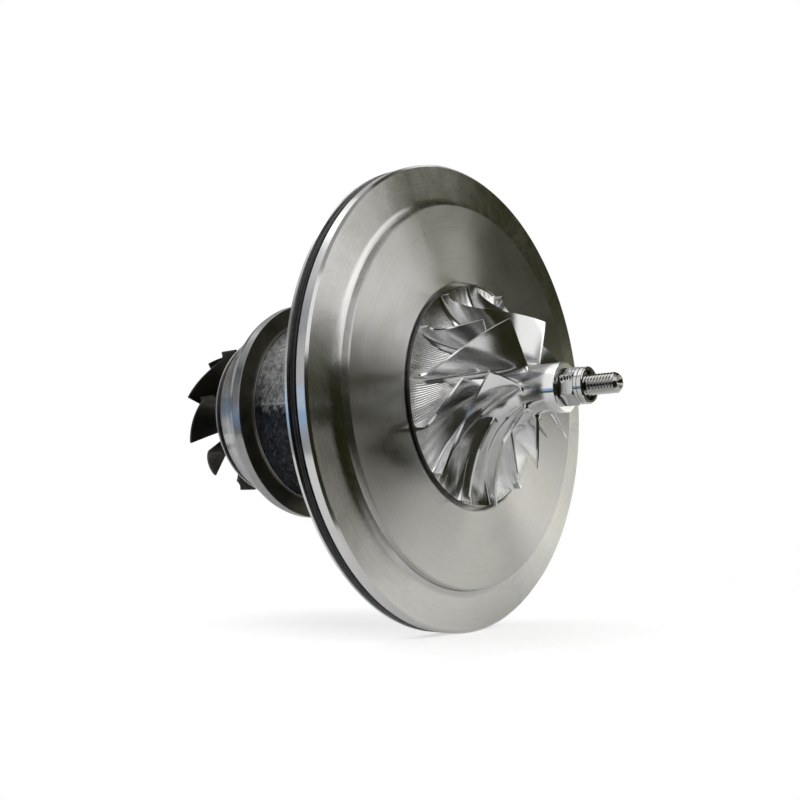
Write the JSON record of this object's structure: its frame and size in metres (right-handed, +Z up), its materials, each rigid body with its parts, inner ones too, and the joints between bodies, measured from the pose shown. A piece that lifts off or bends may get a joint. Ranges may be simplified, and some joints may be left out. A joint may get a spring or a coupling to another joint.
{
  "type": "turbocharger cartridge",
  "caption": "Turbocharger core: a bladed compressor wheel on a shaft through a round backplate and cast bearing housing, with a turbine wheel at the other end.",
  "frame": {"origin": "on the rotor axis, in the plane of the front edge of the backplate's rim", "axes": "+X along the rotor axis from the turbine towards the compressor nose and nut, +Z up through the oil inlet flange, oil drain flange at -Z, +Y to the right seen from the turbine end"},
  "size_m": [0.2169, 0.192, 0.192],
  "materials": {
    "machined_aluminium": "fine turned, bright",
    "milled_aluminium": "five-axis milled, bright",
    "black_rubber": "moulded, slightly glossy",
    "cast_iron_housing": "shot-blasted casting with machined faces",
    "bronze": "fine bored bearing bronze",
    "dark_nickel_alloy": "dark investment cast alloy",
    "pressed_steel": "pressed sheet, satin",
    "zinc_plated_steel": "zinc plated",
    "bright_steel": "polished",
    "ground_steel": "ground"
  },
  "bodies": {
    "cartridge": {"backplate_bolt_1": "zinc_plated_steel", "backplate_bolt_2": "zinc_plated_steel", "backplate_bolt_3": "zinc_plated_steel", "backplate_bolt_4": "zinc_plated_steel", "backplate_bolt_5": "zinc_plated_steel", "backplate_bolt_6": "zinc_plated_steel", "backplate_bolt_7": "zinc_plated_steel", "backplate_bolt_8": "zinc_plated_steel", "backplate_bolt_washer_1": "zinc_plated_steel", "backplate_bolt_washer_2": "zinc_plated_steel", "backplate_bolt_washer_3": "zinc_plated_steel", "backplate_bolt_washer_4": "zinc_plated_steel", "backplate_bolt_washer_5": "zinc_plated_steel", "backplate_bolt_washer_6": "zinc_plated_steel", "backplate_bolt_washer_7": "zinc_plated_steel", "backplate_bolt_washer_8": "zinc_plated_steel", "backplate_rim_seal": "black_rubber", "bearing_housing": "cast_iron_housing", "bush_snap_ring_1": "ground_steel", "bush_snap_ring_2": "ground_steel", "bush_snap_ring_3": "ground_steel", "bush_snap_ring_4": "ground_steel", "compressor_backplate": "machined_aluminium", "compressor_seal_ring_1": "ground_steel", "compressor_seal_ring_2": "ground_steel", "heat_shield": "pressed_steel", "housing_front_flange": "cast_iron_housing", "housing_spigot_seal": "black_rubber", "housing_turbine_flange": "cast_iron_housing", "oil_baffle": "ground_steel", "seal_plate": "machined_aluminium", "seal_plate_seal": "black_rubber", "seal_plate_snap_ring": "ground_steel", "thrust_bearing": "bronze", "thrust_bearing_screw_1": "ground_steel", "thrust_bearing_screw_2": "ground_steel", "thrust_bearing_screw_3": "ground_steel", "thrust_bearing_screw_4": "ground_steel", "thrust_dowel_1": "ground_steel", "thrust_dowel_2": "ground_steel", "turbine_seal_ring_1": "ground_steel", "turbine_seal_ring_2": "ground_steel"},
    "rotor": {"rotor_shaft": "ground_steel", "thrust_collar": "ground_steel", "thrust_sleeve": "ground_steel", "compressor_wheel": "milled_aluminium", "shaft_nut": "bright_steel", "turbine_wheel": "dark_nickel_alloy"},
    "compressor_bush": {"compressor_side_bush": "bronze"},
    "turbine_bush": {"turbine_side_bush": "bronze"}
  },
  "joints": [
    {"name": "rotor_spin", "type": "hinge", "parent": "cartridge", "child": "rotor", "pos_m": [0, 0, 0], "axis": [1, 0, 0], "continuous": true},
    {"name": "compressor_bush_spin", "type": "hinge", "parent": "cartridge", "child": "compressor_bush", "pos_m": [-0.045, 0, 0], "axis": [1, 0, 0], "continuous": true},
    {"name": "turbine_bush_spin", "type": "hinge", "parent": "cartridge", "child": "turbine_bush", "pos_m": [-0.0895, 0, 0], "axis": [1, 0, 0], "continuous": true}
  ]
}
